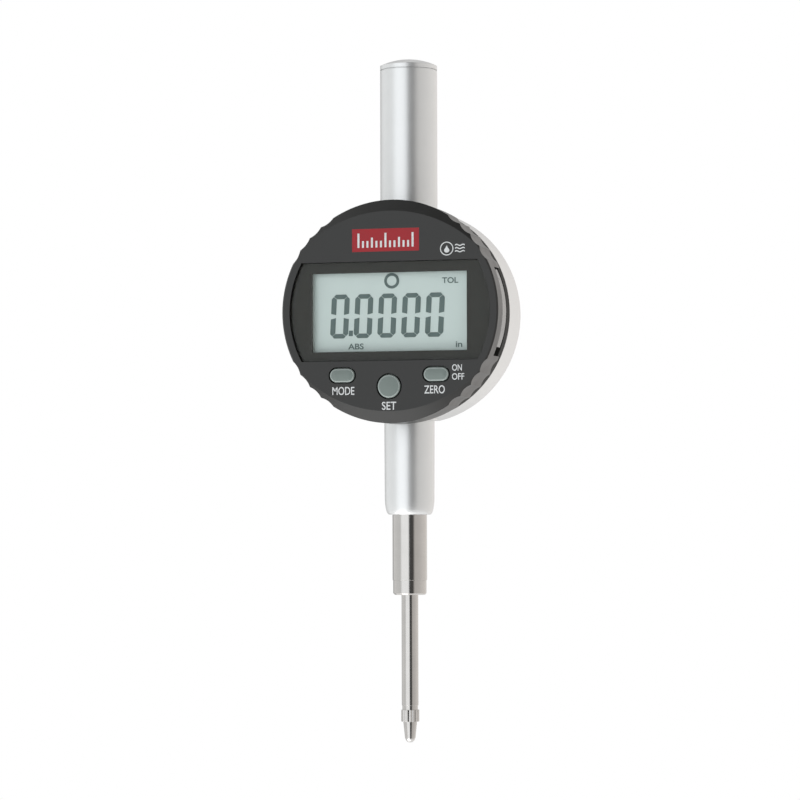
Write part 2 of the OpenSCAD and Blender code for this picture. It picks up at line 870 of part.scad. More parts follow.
// Rows of teeth round the grip ring
function knurl(r, depth, teeth) =
    [for (i = [0 : 2 * teeth - 1]) let (a = 180 * i / teeth, q = i % 2 == 0 ? r : r - depth)
        [q * cos(a), q * sin(a)]];

module contact_point() {
    ring_h = 3.2;
    cone_l = contact_l - ring_h - 1.2;
    color([0.78, 0.76, 0.72]) difference() {
        union() {
            translate([0, 0, plunger_end - eps]) cylinder(r = contact_shank_r, h = 4.7);
            translate([0, 0, plunger_end - ring_h]) linear_extrude(ring_h)
                polygon(knurl(contact_ring_d / 2, 0.14, 20));
            translate([0, 0, plunger_end - ring_h - cone_l])
                cylinder(r1 = ball_r + 0.08, r2 = 1.9, h = cone_l + eps);
        }
        translate([0, 0, plunger_end - contact_l + ball_r]) sphere(ball_r);
    }
}

module contact_ball() {
    color([0.6, 0.6, 0.6]) translate([0, 0, plunger_end - contact_l + ball_r]) sphere(ball_r);
}

// ---------------------------------------------------------------- nodes

front_housing();
display_lens();
window_mask();
name_plate();
lcd_glass();
lcd_frame();
contact_strips();
main_board();
processor_chip();
board_connector();
dome_switches();
keypad_frame();
battery_contacts();
head_base();
head_base_screws();
stop_pin();
mode_button();
set_button();
zero_button();
battery_drawer();
drawer_seal();
coin_cell();
hub_plate();
hub_plate_screws();
retaining_ring();
retaining_ring_screws();
rotation_seal();
rear_body();
back_gasket();
back_cover();
back_cover_screws();
sensor_board();
sensor_board_screws();
sensor_chip();
sensor_connector();
ribbon_cable();
guide_rail();
guide_rail_screws();
upper_tube();
upper_bush();
tube_cap();
cap_seal();
return_spring();
lower_barrel();
mounting_stem();
lower_bush();
stem_end_bush();
wiper_seal();
rest_bumper();
plunger();
scale_carrier();
carrier_screws();
scale_plate();
guide_pin();
contact_point();
contact_ball();
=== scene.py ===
import json
import math

import bmesh
import bpy
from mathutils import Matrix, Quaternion, Vector


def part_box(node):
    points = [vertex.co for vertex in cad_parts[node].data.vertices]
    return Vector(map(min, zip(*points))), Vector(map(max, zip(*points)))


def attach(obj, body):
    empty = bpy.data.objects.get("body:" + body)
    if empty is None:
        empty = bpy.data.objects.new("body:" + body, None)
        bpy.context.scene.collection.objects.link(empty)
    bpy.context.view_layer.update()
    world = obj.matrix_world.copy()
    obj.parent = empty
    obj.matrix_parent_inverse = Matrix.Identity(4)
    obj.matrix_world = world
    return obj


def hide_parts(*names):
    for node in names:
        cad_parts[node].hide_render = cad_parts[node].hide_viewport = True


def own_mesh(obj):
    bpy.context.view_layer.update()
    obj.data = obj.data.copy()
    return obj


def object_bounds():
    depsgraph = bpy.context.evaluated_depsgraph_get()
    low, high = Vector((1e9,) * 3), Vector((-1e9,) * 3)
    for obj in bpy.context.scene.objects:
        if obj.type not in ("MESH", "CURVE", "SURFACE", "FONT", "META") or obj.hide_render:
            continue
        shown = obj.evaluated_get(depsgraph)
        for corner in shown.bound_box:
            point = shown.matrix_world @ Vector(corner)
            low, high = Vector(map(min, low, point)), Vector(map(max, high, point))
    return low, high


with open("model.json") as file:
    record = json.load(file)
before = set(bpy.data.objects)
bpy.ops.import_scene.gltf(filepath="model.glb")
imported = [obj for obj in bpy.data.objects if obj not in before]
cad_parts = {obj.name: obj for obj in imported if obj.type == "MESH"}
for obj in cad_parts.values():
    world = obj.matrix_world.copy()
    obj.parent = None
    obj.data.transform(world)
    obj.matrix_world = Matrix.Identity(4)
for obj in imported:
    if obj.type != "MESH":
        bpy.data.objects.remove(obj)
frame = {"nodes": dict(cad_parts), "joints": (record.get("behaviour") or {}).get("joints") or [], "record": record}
cad_low, cad_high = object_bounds()

MM = 0.001
record = frame["record"]
turn_joint = next(j for j in frame["joints"] if j["name"] == "display_turn")
FACE = Vector(turn_joint["pos_m"])
node_slot = {part["node"]: part["material_slot"] for part in record["subparts"]}


# ---------------------------------------------------------------- camera

CAMERA_AZIMUTH = math.radians(15.65)
CAMERA_ELEVATION = math.radians(-2.1)
CAMERA_ROLL = math.radians(-0.14)
CAMERA_DISTANCE = 0.835
CAMERA_LENS = 136
CAMERA_SENSOR = 36
AIM_OFFSET = Vector((-2.7, 0, 0)) * MM


def direction(azimuth, elevation):
    """Unit vector from the object towards a point at that azimuth and elevation."""
    flat = math.cos(elevation)
    return Vector((math.sin(azimuth) * flat, -math.cos(azimuth) * flat, math.sin(elevation)))


def make_camera():
    data = bpy.data.cameras.new("camera")
    data.sensor_width = CAMERA_SENSOR
    data.lens = CAMERA_LENS
    camera = bpy.data.objects.new("camera", data)
    middle = (cad_low + cad_high) / 2
    aim = Vector((0, 0, middle.z)) + AIM_OFFSET
    back = direction(CAMERA_AZIMUTH, CAMERA_ELEVATION)
    camera.rotation_mode = "QUATERNION"
    camera.location = aim + back * CAMERA_DISTANCE
    camera.rotation_quaternion = (-back).to_track_quat("-Z", "Y") @ Quaternion((0, 0, 1), CAMERA_ROLL)
    bpy.context.scene.collection.objects.link(camera)
    bpy.context.scene.camera = camera


# ---------------------------------------------------------------- node helpers


def add(tree, kind, inputs=None, **settings):
    """Adds a node, sets its properties, and sets or links its inputs."""
    made = tree.nodes.new(kind)
    for key, value in settings.items():
        setattr(made, key, value)
    for key, value in (inputs or {}).items():
        if isinstance(value, bpy.types.NodeSocket):
            tree.links.new(value, made.inputs[key])
        else:
            made.inputs[key].default_value = value
    return made


def maths(tree, operation, *values):
    return add(tree, "ShaderNodeMath", dict(enumerate(values)), operation=operation).outputs[0]


def remap(tree, value, low, high, to_low, to_high):
    inputs = {"Value": value, "From Min": low, "From Max": high, "To Min": to_low, "To Max": to_high}
    return add(tree, "ShaderNodeMapRange", inputs).outputs["Result"]


def mix_colour(tree, factor, first, second):
    made = tree.nodes.new("ShaderNodeMix")
    made.data_type = "RGBA"
    for socket, value in zip((made.inputs[0], made.inputs[6], made.inputs[7]), (factor, first, second)):
        if isinstance(value, bpy.types.NodeSocket):
            tree.links.new(value, socket)
        else:
            socket.default_value = (*value, 1) if isinstance(value, tuple) else value
    return made.outputs[2]


def new_material(name):
    material = bpy.data.materials.new(name)
    material.use_nodes = True
    material.node_tree.nodes.clear()
    return material, material.node_tree


NOISE_DETAIL = 3


def noise(tree, size, stretch=(1, 1, 1)):
    """Noise with features of that size in metres, from the object's own coordinates."""
    place = add(tree, "ShaderNodeTexCoord").outputs["Object"]
    scaled = add(tree, "ShaderNodeMapping", {"Vector": place, "Scale": stretch}).outputs["Vector"]
    inputs = {"Vector": scaled, "Scale": 1 / size, "Detail": NOISE_DETAIL}
    return add(tree, "ShaderNodeTexNoise", inputs).outputs["Fac"]


def around(tree, centre, size):
    """Noise that changes only with the distance from an axis along Y, as lathe marks on a flat end do."""
    place = add(tree, "ShaderNodeTexCoord").outputs["Object"]
    moved = add(tree, "ShaderNodeVectorMath", {0: place, 1: centre}, operation="SUBTRACT").outputs[0]
    flat = add(tree, "ShaderNodeVectorMath", {0: moved, 1: (1, 0, 1)}, operation="MULTIPLY").outputs[0]
    reach = add(tree, "ShaderNodeVectorMath", {0: flat}, operation="LENGTH").outputs["Value"]
    inputs = {"W": reach, "Scale": 1 / size, "Detail": NOISE_DETAIL}
    return add(tree, "ShaderNodeTexNoise", inputs, noise_dimensions="1D").outputs["Fac"]


# ---------------------------------------------------------------- materials

# How far grain is stretched along each axis: the same all ways, or round a turned part
FINE = (1, 1, 1)
TURNED = (0.02, 0.02, 1)
COAT_ROUGHNESS = 0.06
# The values that a noise texture mostly stays between, and the sum of two
NOISE_LOW, NOISE_HIGH = 0.3, 0.7
SUM_LOW, SUM_HIGH = 0.7, 1.3
# Cosine between the eased and the true normal where an edge starts to wear, and where it is fully worn
WEAR_STARTS, WEAR_FULL = 0.995, 0.9
# Patches of wear along an edge: their size, the noise they lie between, and the least wear there
RUB_SIZE = 0.8 * MM
RUB_LOW, RUB_HIGH = 0.35, 0.6
RUB_LEAST = 0.2
# How much lighter a worn edge is when a finish names no worn colour
WORN_GAIN = 1.6
WORN_LIFT = 0.02
SMOOTHEST = 0.02
BEVEL_SAMPLES = 4


def surface(
    name,
    colour,
    roughness,
    metallic=0,
    tint=0.08,
    blotch=4 * MM,
    grain=0.2 * MM,
    stretch=FINE,
    depth=0.002 * MM,
    rough_spread=0.06,
    edge=0.12 * MM,
    wear=0.35,
    worn=None,
    specular=0.5,
    rings=None,
    coat=0,
):
    """Opaque finish: colour that drifts by tint over blotches, grain in bump and roughness, and edges
    that are eased by edge metres and worn towards the worn colour."""
    material, tree = new_material(name)
    broad = noise(tree, blotch)
    fine = noise(tree, grain, stretch)
    if rings is not None:
        fine = around(tree, rings, grain)
    dark = tuple(c * (1 - tint) for c in colour)
    light = tuple(min(1, c * (1 + tint)) for c in colour)
    drift = remap(tree, maths(tree, "ADD", broad, fine), SUM_LOW, SUM_HIGH, 0, 1)
    tinted = mix_colour(tree, drift, dark, light)
    eased = add(tree, "ShaderNodeBevel", {"Radius": edge}, samples=BEVEL_SAMPLES).outputs["Normal"]
    true_normal = add(tree, "ShaderNodeNewGeometry").outputs["Normal"]
    agree = add(tree, "ShaderNodeVectorMath", {0: eased, 1: true_normal}, operation="DOT_PRODUCT")
    at_edge = remap(tree, agree.outputs["Value"], WEAR_STARTS, WEAR_FULL, 0, wear)
    patches = remap(tree, noise(tree, RUB_SIZE), RUB_LOW, RUB_HIGH, RUB_LEAST, 1)
    rubbed = maths(tree, "MULTIPLY", at_edge, patches)
    worn_colour = worn or tuple(min(1, c * WORN_GAIN + WORN_LIFT) for c in colour)
    coloured = mix_colour(tree, rubbed, tinted, worn_colour)
    mixed = maths(tree, "ADD", maths(tree, "MULTIPLY", broad, 0.5), maths(tree, "MULTIPLY", fine, 0.5))
    smooth_end = max(SMOOTHEST, roughness - rough_spread)
    rough = remap(tree, mixed, NOISE_LOW, NOISE_HIGH, smooth_end, roughness + rough_spread)
    bump = add(tree, "ShaderNodeBump", {"Height": fine, "Distance": depth, "Strength": 1, "Normal": eased})
    shader = add(
        tree,
        "ShaderNodeBsdfPrincipled",
        {"Base Color": coloured, "Roughness": rough, "Normal": bump.outputs["Normal"]},
    )
    shader.inputs["Metallic"].default_value = metallic
    shader.inputs["Specular IOR Level"].default_value = specular
    shader.inputs["Coat Weight"].default_value = coat
    shader.inputs["Coat Roughness"].default_value = COAT_ROUGHNESS
    add(tree, "ShaderNodeOutputMaterial", {"Surface": shader.outputs["BSDF"]})
    return material


LENS_TINT = (0.95, 0.965, 0.96, 1)
LENS_SHINE = 0.9
LENS_FALLOFF = 10
# Broad smears that change the shine, and hairlines too fine to see one by one
SMEAR_SIZE = 5 * MM
SMEAR_STRETCH = (1, 1, 0.4)
SMEAR_LOW, SMEAR_HIGH = 0.35, 0.7
SMEAR_SMOOTH, SMEAR_ROUGH = 0.03, 0.09
HAIR_SIZE = 0.12 * MM
HAIR_DEPTH = 0.0002 * MM


def lens_surface():
    """Clear moulded lens: it lets everything through straight and shines at grazing angles. Its shine from
    the front is the coat of the mask behind it."""
    material, tree = new_material("clear_lens")
    facing = add(tree, "ShaderNodeLayerWeight", {"Blend": 0.5}).outputs["Facing"]
    grazing = maths(tree, "POWER", facing, LENS_FALLOFF)
    share = maths(tree, "MULTIPLY", grazing, LENS_SHINE)
    smear = noise(tree, SMEAR_SIZE, SMEAR_STRETCH)
    rough = remap(tree, smear, SMEAR_LOW, SMEAR_HIGH, SMEAR_SMOOTH, SMEAR_ROUGH)
    hair = noise(tree, HAIR_SIZE)
    bump = add(tree, "ShaderNodeBump", {"Height": hair, "Distance": HAIR_DEPTH, "Strength": 1})
    gloss = add(tree, "ShaderNodeBsdfGlossy", {"Roughness": rough, "Normal": bump.outputs["Normal"]})
    clear = add(tree, "ShaderNodeBsdfTransparent", {"Color": LENS_TINT})
    both = add(tree, "ShaderNodeMixShader", {0: share, 1: clear.outputs[0], 2: gloss.outputs[0]})
    add(tree, "ShaderNodeOutputMaterial", {"Surface": both.outputs[0]})
    return material


BOARD_GREEN = (0.02, 0.13, 0.05)
TRACK_GREEN = (0.05, 0.26, 0.10)
TRACK_CELL = MM / 0.7
TRACK_RISE = 0.02 * MM
BOARD_BLOTCH = 1.5 * MM
BOARD_SMOOTH, BOARD_ROUGH = 0.25, 0.4


def board_surface():
    """Solder-masked laminate with copper tracks showing as raised, lighter lines."""
    material, tree = new_material("circuit_board")
    place = add(tree, "ShaderNodeTexCoord").outputs["Object"]
    turned = add(tree, "ShaderNodeMapping", {"Vector": place, "Rotation": (math.pi / 2, 0, 0)}).outputs[0]
    inputs = {"Vector": turned, "Scale": 1 / TRACK_CELL}
    inputs.update({"Brick Width": 1.6, "Row Height": 0.7, "Mortar Size": 0.05})
    tracks = add(tree, "ShaderNodeTexBrick", inputs).outputs["Fac"]
    colour = mix_colour(tree, tracks, BOARD_GREEN, TRACK_GREEN)
    blotch = noise(tree, BOARD_BLOTCH)
    rough = remap(tree, blotch, NOISE_LOW, NOISE_HIGH, BOARD_SMOOTH, BOARD_ROUGH)
    bump = add(tree, "ShaderNodeBump", {"Height": tracks, "Distance": TRACK_RISE, "Strength": 1})
    shader = add(
        tree,
        "ShaderNodeBsdfPrincipled",
        {"Base Color": colour, "Roughness": rough, "Normal": bump.outputs["Normal"]},
    )
    add(tree, "ShaderNodeOutputMaterial", {"Surface": shader.outputs["BSDF"]})
    return material


STEEL_WORN = (0.8, 0.79, 0.77)


def make_materials():
    """One material for each material slot of the record, and the inks."""
    made = {"clear_lens": lens_surface(), "circuit_board": board_surface()}
    plain = {
        "housing_plastic": dict(
            colour=(0.0162, 0.0162, 0.0155), roughness=0.34, grain=0.13 * MM, depth=0.0025 * MM,
            worn=(0.10, 0.10, 0.097), specular=0.35,
        ),
        "inner_plastic": dict(colour=(0.035, 0.035, 0.036), roughness=0.45, grain=0.15 * MM),
        "mask_print": dict(
            colour=(0.0235, 0.0205, 0.0172), roughness=0.4, grain=0.3 * MM, depth=0.0002 * MM, wear=0,
            specular=0.18, coat=0.35,
        ),
        "label_red": dict(colour=(0.285, 0.006, 0.012), roughness=0.35, tint=0.05, wear=0.1, specular=0.3),
        "lcd_panel": dict(
            colour=(0.59, 0.65, 0.64), roughness=0.38, tint=0.02, grain=0.3 * MM, wear=0, blotch=9 * MM,
            depth=0.0005 * MM,
        ),
        "white_plastic": dict(colour=(0.72, 0.72, 0.69), roughness=0.5),
        "chip_plastic": dict(colour=(0.025, 0.025, 0.026), roughness=0.55, grain=0.08 * MM),
        "contact_metal": dict(colour=(0.86, 0.62, 0.26), roughness=0.25, metallic=1),
        "strip_rubber": dict(colour=(0.62, 0.34, 0.27), roughness=0.6, stretch=(6, 1, 1)),
        "black_rubber": dict(colour=(0.022, 0.022, 0.022), roughness=0.6, grain=0.1 * MM),
        # The keys' light worn colour, strong along their eased edges, is partly wear and partly a painted
        # highlight on their rims
        "button_plastic": dict(
            colour=(0.137, 0.17, 0.157), roughness=0.36, grain=0.2 * MM, tint=0.05,
            worn=(0.36, 0.41, 0.39), wear=0.8, edge=0.25 * MM,
        ),
        "satin_metal": dict(
            colour=(0.63, 0.635, 0.635), roughness=0.35, metallic=0.78, grain=0.12 * MM, tint=0.02,
            depth=0.0002 * MM, rough_spread=0.02, edge=0.16 * MM, wear=0.12,
        ),
        "polished_steel": dict(
            colour=(0.46, 0.445, 0.43), roughness=0.13, metallic=1, stretch=TURNED, grain=0.08 * MM,
            tint=0.04, depth=0.0001 * MM, rough_spread=0.02, worn=STEEL_WORN,
        ),
        "hard_metal": dict(colour=(0.52, 0.51, 0.50), roughness=0.12, metallic=1, wear=0),
        "bearing_bronze": dict(
            colour=(0.62, 0.40, 0.17), roughness=0.3, metallic=1, stretch=TURNED, grain=0.1 * MM,
        ),
        "screw_steel": dict(colour=(0.62, 0.61, 0.59), roughness=0.24, metallic=1, grain=0.1 * MM),
        "spring_steel": dict(colour=(0.5, 0.5, 0.5), roughness=0.2, metallic=1, grain=0.05 * MM),
        "carrier_metal": dict(colour=(0.66, 0.67, 0.68), roughness=0.33, metallic=1, stretch=(1, 1, 20)),
        "scale_laminate": dict(colour=(0.30, 0.42, 0.46), roughness=0.3, stretch=(1, 1, 12)),
        "ribbon_film": dict(colour=(0.58, 0.28, 0.05), roughness=0.25, stretch=(1, 12, 1), wear=0),
        "cell_can": dict(
            colour=(0.72, 0.71, 0.69), roughness=0.22, metallic=1, grain=0.12 * MM, tint=0.03,
        ),
    }
    for slot, settings in plain.items():
        made[slot] = surface(slot, **settings)
    made["drawer_plastic"] = surface(
        "drawer_plastic", (0.05, 0.05, 0.048), 0.2, grain=0.13 * MM, depth=0.0015 * MM, worn=(0.2, 0.2, 0.19),
    )
    made["cover_metal"] = surface(
        "cover_metal", (0.60, 0.605, 0.605), 0.33, metallic=0.85, grain=0.1 * MM, tint=0.05,
        depth=0.0008 * MM, rough_spread=0.05, edge=0.16 * MM, rings=tuple(FACE),
    )
    # Dull near-black on the hub's rim: painted shade for the dark gap between head and case
    made["hub_rim_painted_shade"] = surface("hub_rim_painted_shade", (0.03, 0.03, 0.028), 0.8, wear=0, specular=0.25)
    # Lighter colour for the keys' rolled rim: a painted highlight along their edges
    made["button_rim_painted_highlight"] = surface(
        "button_rim_painted_highlight", (0.27, 0.31, 0.295), 0.3, grain=0.2 * MM, tint=0.1, blotch=1.5 * MM, wear=0,
    )
    made["label_ink"] = surface(
        "label_ink", (0.60, 0.615, 0.62), 0.5, tint=0.12, grain=0.07 * MM, blotch=0.6 * MM, wear=0,
        edge=0.01 * MM,
    )
    made["display_ink"] = surface(
        "display_ink", (0.10, 0.138, 0.135), 0.45, tint=0.06, grain=0.09 * MM, blotch=2 * MM, wear=0,
        edge=0.01 * MM,
    )
    return made


# Nodes with a finish of their own within their slot: the drawer is glossier, the hub's rim is painted
# dark as the shade in the gap between head and case, and the back cover is brushed in rings
OWN_FINISH = {"battery_drawer": "drawer_plastic", "hub_plate": "hub_rim_painted_shade", "back_cover": "cover_metal"}


def paint_frame(materials):
    """Puts each CAD node's finish on it, from the record's own slots."""
    for name, shape in frame["nodes"].items():
        shape.data.materials.clear()
        shape.data.materials.append(materials[OWN_FINISH.get(name, node_slot[name])])


# ---------------------------------------------------------------- mesh helpers


def finish_piece(name, build, material, body):
    """Turns a bmesh into a piece that rides on a body and has a material and a slot."""
    bmesh.ops.recalc_face_normals(build, faces=build.faces)
    mesh = bpy.data.meshes.new(name)
    build.to_mesh(mesh)
    build.free()
    piece = bpy.data.objects.new(name, mesh)
    bpy.context.scene.collection.objects.link(piece)
    mesh.materials.append(material)
    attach(piece, body)
    return piece


def on_face(point, depth):
    """Point of the face: across and up from its middle in millimetres, and depth forwards of the
    plunger's axis in metres."""
    return Vector((FACE.x + point[0] * MM, -depth, FACE.z + point[1] * MM))


def upright(left, low, width, height):
    """Outline of an upright rectangle."""
    return [(left, low), (left + width, low), (left + width, low + height), (left, low + height)]


def add_plate(build, outline, back, front):
    """Closed flat solid with that outline, in millimetres on the face, between two depths in metres."""
    rear = [build.verts.new(on_face(p, back)) for p in outline]
    fore = [build.verts.new(on_face(p, front)) for p in outline]
    build.faces.new(rear)
    build.faces.new(fore[::-1])
    for i in range(len(outline)):
        j = (i + 1) % len(outline)
        build.faces.new((rear[i], fore[i], fore[j], rear[j]))


def add_ring(build, centre, outer, inner, back, front, steps=48):
    """Flat ring on the face."""
    loops = []
    for radius in (outer, inner):
        for depth in (back, front):
            turn = [2 * math.pi * i / steps for i in range(steps)]
            points = [(centre[0] + radius * math.cos(a), centre[1] + radius * math.sin(a)) for a in turn]
            loops.append([build.verts.new(on_face(p, depth)) for p in points])
    outer_back, outer_front, inner_back, inner_front = loops
    for a, b in (
        (outer_back, outer_front), (outer_front, inner_front),
        (inner_front, inner_back), (inner_back, outer_back),
    ):
        for i in range(steps):
            j = (i + 1) % steps
            build.faces.new((a[i], a[j], b[j], b[i]))


# ---------------------------------------------------------------- buttons


def stadium(half_width, radius, steps=12):
    """Outline with round ends, as points about its middle in metres. A circle when the two are equal."""
    reach = half_width - radius
    right = [math.radians(-90 + 180 * i / steps) for i in range(steps + 1)]
    points = [(reach + radius * math.cos(a), radius * math.sin(a)) for a in right]
    return points + [(-x, -y) for x, y in points]


# The flange behind the face, the height of the crown and the roll round its edge, and how far in from
# the roll each step of the crown lies, as shares of the way to the middle
BUTTON_FLANGE = 0.7 * MM
FLANGE_DEPTH = 0.6 * MM
BUTTON_CROWN = 0.22 * MM
BUTTON_ROLL = 0.4 * MM
ROLL_STEPS = 6
CROWN_SHARES = (0.35, 0.6, 0.8, 0.93)
SHARP_ANGLE = math.radians(50)


def make_button(node, body, materials):
    """Moulded key: flange behind the face, upright skirt, and a softly crowned top with a rolled edge, whose rim
    is painted lighter as a highlight.
    """
    low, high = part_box(node)
    middle = (low + high) / 2
    half_width = (high.x - low.x) / 2 - BUTTON_FLANGE
    radius = (high.z - low.z) / 2 - BUTTON_FLANGE
    top = low.y + BUTTON_CROWN
    shoulder = high.y - FLANGE_DEPTH
    profile = [(-BUTTON_FLANGE, high.y), (-BUTTON_FLANGE, shoulder), (0, shoulder), (0, top + BUTTON_ROLL)]
    highlight_rim_start = len(profile) - 1
    for i in range(1, ROLL_STEPS + 1):
        a = math.pi / 2 * i / ROLL_STEPS
        profile.append((BUTTON_ROLL * (1 - math.cos(a)), top + BUTTON_ROLL * (1 - math.sin(a))))
    for share in CROWN_SHARES:
        inset = BUTTON_ROLL + (radius - BUTTON_ROLL) * share
        profile.append((inset, top - BUTTON_CROWN * math.sin(math.pi / 2 * share)))
    build = bmesh.new()
    loops = []
    for inset, depth in profile:
        outline = stadium(half_width - inset, radius - inset)
        loops.append([build.verts.new((middle.x + x, depth, middle.z + z)) for x, z in outline])
    for row, (a, b) in enumerate(zip(loops, loops[1:])):
        for i in range(len(a)):
            j = (i + 1) % len(a)
            face = build.faces.new((a[i], a[j], b[j], b[i]))
            # The rows of the rolled rim take the lighter material, a painted highlight
            face.material_index = 1 if highlight_rim_start <= row < highlight_rim_start + ROLL_STEPS else 0
    build.faces.new(loops[0][::-1])
    build.faces.new(loops[-1])
    piece = finish_piece(body + "_cap", build, materials["button_plastic"], body)
    piece.data.materials.append(materials["button_rim_painted_highlight"])
    piece.data.shade_smooth()
    piece.data.set_sharp_from_angle(angle=SHARP_ANGLE)
    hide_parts(node)


# ---------------------------------------------------------------- display

# Sizes and places on the face are in millimetres from its middle
DIGIT_COUNT = 5
DIGIT_W = 5.1
DIGIT_H = 11.95
DIGIT_BASE = -7.1
DIGIT_FIRST = -17.15
DIGIT_STEP = 6.68
STROKE = 1.45
BAR = 1.25
CORNER = 1.15
MITRE = 0.07
MIDDLE_GAP = 1.0
SIDE_TIP = 0.35
SIDE_REACH = 0.1
SLANT = 0.05
DOT_LEFT = DIGIT_W + 0.2
DOT_W = 1.15
DOT_LOW = 0.6
DOT_H = 1.5
RING_MARK = (0.05, 8.3)
RING_OUTER = 2.12
RING_INNER = 1.35
# Each word's piece, letters, middle and size
DISPLAY_WORDS = (
    ("lcd_tolerance_word", "TOL", (16.4, 8.1), (4.5, 1.6)),
    ("lcd_absolute_word", "ABS", (-10.1, -9.35), (4.4, 1.6)),
    ("lcd_unit_word", "in", (18.8, -9.2), (1.8, 1.55)),
)
DISPLAY_BOLD = 0.02
# How far the display's ink stands in front of the glass, in metres
INK_BACK = 0.02 * MM
INK_FRONT = 0.06 * MM


def segment_outlines():
    """The six lit segments of a nought, upright, with the origin at its lower left."""
    low = DIGIT_H / 2 + MIDDLE_GAP / 2 - SIDE_REACH
    side = [
        (0, low + SIDE_TIP),
        (STROKE, low),
        (STROKE, DIGIT_H - BAR - MITRE),
        (CORNER / 2, DIGIT_H - CORNER / 2 - MITRE),
        (0, DIGIT_H - CORNER - MITRE),
    ]
    bar = [
        (STROKE + MITRE, DIGIT_H - BAR),
        (DIGIT_W - STROKE - MITRE, DIGIT_H - BAR),
        (DIGIT_W - CORNER / 2 - MITRE, DIGIT_H - CORNER / 2),
        (DIGIT_W - CORNER, DIGIT_H),
        (CORNER, DIGIT_H),
        (CORNER / 2 + MITRE, DIGIT_H - CORNER / 2),
    ]
    upper = [side, [(DIGIT_W - x, z) for x, z in side], bar]
    return upper + [[(x, DIGIT_H - z) for x, z in outline] for outline in upper]


def slanted(outline, left):
    """Outline leaned over as the display's figures are, with its origin moved to left."""
    return [(left + x + SLANT * (z - DIGIT_H / 2), DIGIT_BASE + z) for x, z in outline]


def make_display(materials):
    glass = -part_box("lcd_glass")[0].y
    back, front = glass + INK_BACK, glass + INK_FRONT
    ink = materials["display_ink"]
    for i in range(DIGIT_COUNT):
        build = bmesh.new()
        for outline in segment_outlines():
            add_plate(build, slanted(outline, DIGIT_FIRST + DIGIT_STEP * i), back, front)
        finish_piece(f"lcd_digit_{i + 1}", build, ink, "display_head")
    build = bmesh.new()
    add_plate(build, slanted(upright(DOT_LEFT, DOT_LOW, DOT_W, DOT_H), DIGIT_FIRST), back, front)
    finish_piece("lcd_decimal_point", build, ink, "display_head")
    build = bmesh.new()
    add_ring(build, RING_MARK, RING_OUTER, RING_INNER, back, front)
    finish_piece("lcd_ring_mark", build, ink, "display_head")
    for name, word, centre, size in DISPLAY_WORDS:
        make_word(name, word, centre, size, back, front, ink, DISPLAY_BOLD)


# ---------------------------------------------------------------- printing on the face

PRINT_THICKNESS = 0.02 * MM
FACE_WORDS = (
    ("label_mode", "MODE", (-12.85, -21.5), (6.2, 2.2)),
    ("label_set", "SET", (0.0, -25.65), (4.0, 2.2)),
    ("label_zero", "ZERO", (12.7, -21.4), (5.7, 2.2)),
    ("label_on", "ON", (18.95, -15.6), (2.7, 1.75)),
    ("label_off", "OFF", (19.25, -18.0), (3.4, 1.75)),
)
FACE_BOLD = 0.008
SIGN_CENTRE = (16.2, 16.4)
SIGN_OUTER = 1.85
SIGN_INNER = 1.6
DROP_CENTRE = (16.2, 16.05)
DROP_RADIUS = 0.75
DROP_POINT = 0.55
DROP_PULL = 0.6
DROP_SHARPNESS = 3
WAVE_COUNT = 3
WAVE_LEFT = 18.5
WAVE_TOP = 17.3
WAVE_STEP = 0.85
WAVE_LENGTH = 2.7
WAVE_HEIGHT = 0.16
WAVE_STROKE = 0.3
WAVE_ARCS = 3

# The letters' depth before they are fitted between back and front, the steps in their curves, and the
# gap that is closed where their walls meet
LETTER_DEPTH = 0.5
LETTER_STEPS = 6
LETTER_WELD = 1e-5


def make_word(name, word, centre, size, back, front, ink, bold):
    """Word whose capitals fill a box of that width and height, in millimetres, about a point of the face."""
    curve = bpy.data.curves.new(name, "FONT")
    curve.body = word
    curve.offset = bold
    curve.extrude = LETTER_DEPTH
    curve.resolution_u = LETTER_STEPS
    text = bpy.data.objects.new(name + "_text", curve)
    bpy.context.scene.collection.objects.link(text)
    bpy.context.view_layer.update()
    mesh = bpy.data.meshes.new_from_object(text.evaluated_get(bpy.context.evaluated_depsgraph_get()))
    bpy.data.objects.remove(text)
    low = [min(v.co[i] for v in mesh.vertices) for i in range(3)]
    high = [max(v.co[i] for v in mesh.vertices) for i in range(3)]
    build = bmesh.new()
    build.from_mesh(mesh)
    bpy.data.meshes.remove(mesh)
    bmesh.ops.remove_doubles(build, verts=build.verts, dist=LETTER_WELD)
    for vertex in build.verts:
        share = [(vertex.co[i] - low[i]) / (high[i] - low[i]) for i in range(3)]
        across = centre[0] + (share[0] - 0.5) * size[0]
        up = centre[1] + (share[1] - 0.5) * size[1]
        vertex.co = on_face((across, up), back + (front - back) * share[2])
    return finish_piece(name, build, ink, "display_head")


def droplet(centre, radius, height, steps=24):
    """Outline of a drop: a round foot that draws up to a point."""
    points = []
    for i in range(steps):
        a = 2 * math.pi * i / steps
        rise = max(0.0, math.sin(a))
        pull = (1 - rise) ** DROP_PULL if rise > 0 else 1
        up = radius * math.sin(a) + height * rise ** DROP_SHARPNESS
        points.append((centre[0] + radius * math.cos(a) * pull, centre[1] + up))
    return points


def wave(left, base, length, height, stroke, steps=16):
    """Outline of one wavy stroke."""
    upper = []
    lower = []
    for i in range(steps + 1):
        x = left + length * i / steps
        z = base + height * math.sin(WAVE_ARCS * math.pi * i / steps)
        upper.append((x, z + stroke / 2))
        lower.append((x, z - stroke / 2))
    return upper + lower[::-1]


